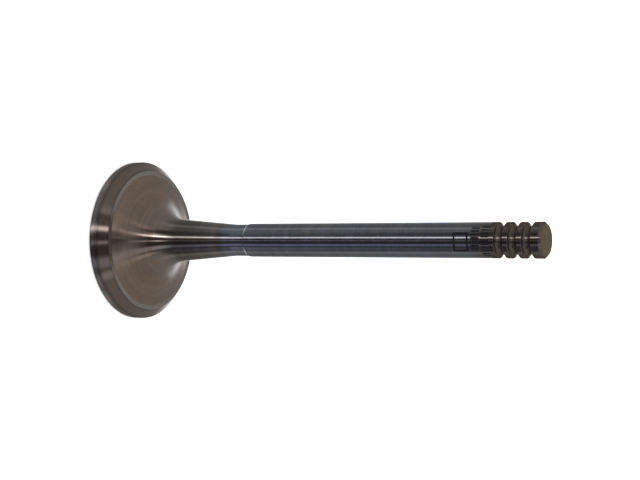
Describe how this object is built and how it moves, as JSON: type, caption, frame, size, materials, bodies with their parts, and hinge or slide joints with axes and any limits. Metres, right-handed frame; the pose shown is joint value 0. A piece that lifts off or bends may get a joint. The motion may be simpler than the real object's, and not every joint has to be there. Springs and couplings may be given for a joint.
{
  "type": "engine valve",
  "caption": "Poppet valve with a flat head, 45 degree seat, concave underhead, slim relieved neck, ground stem and multi-groove keeper end.",
  "frame": {"origin": "centre of the combustion face, which the valve stands on", "axes": "+Z along the stem, from the head towards the tip"},
  "size_m": [0.0386, 0.0386, 0.1077],
  "materials": {
    "valve_steel": "turned head and neck, ground stem and seat"
  },
  "bodies": {
    "root": {"engine_valve": "valve_steel"}
  },
  "joints": []
}
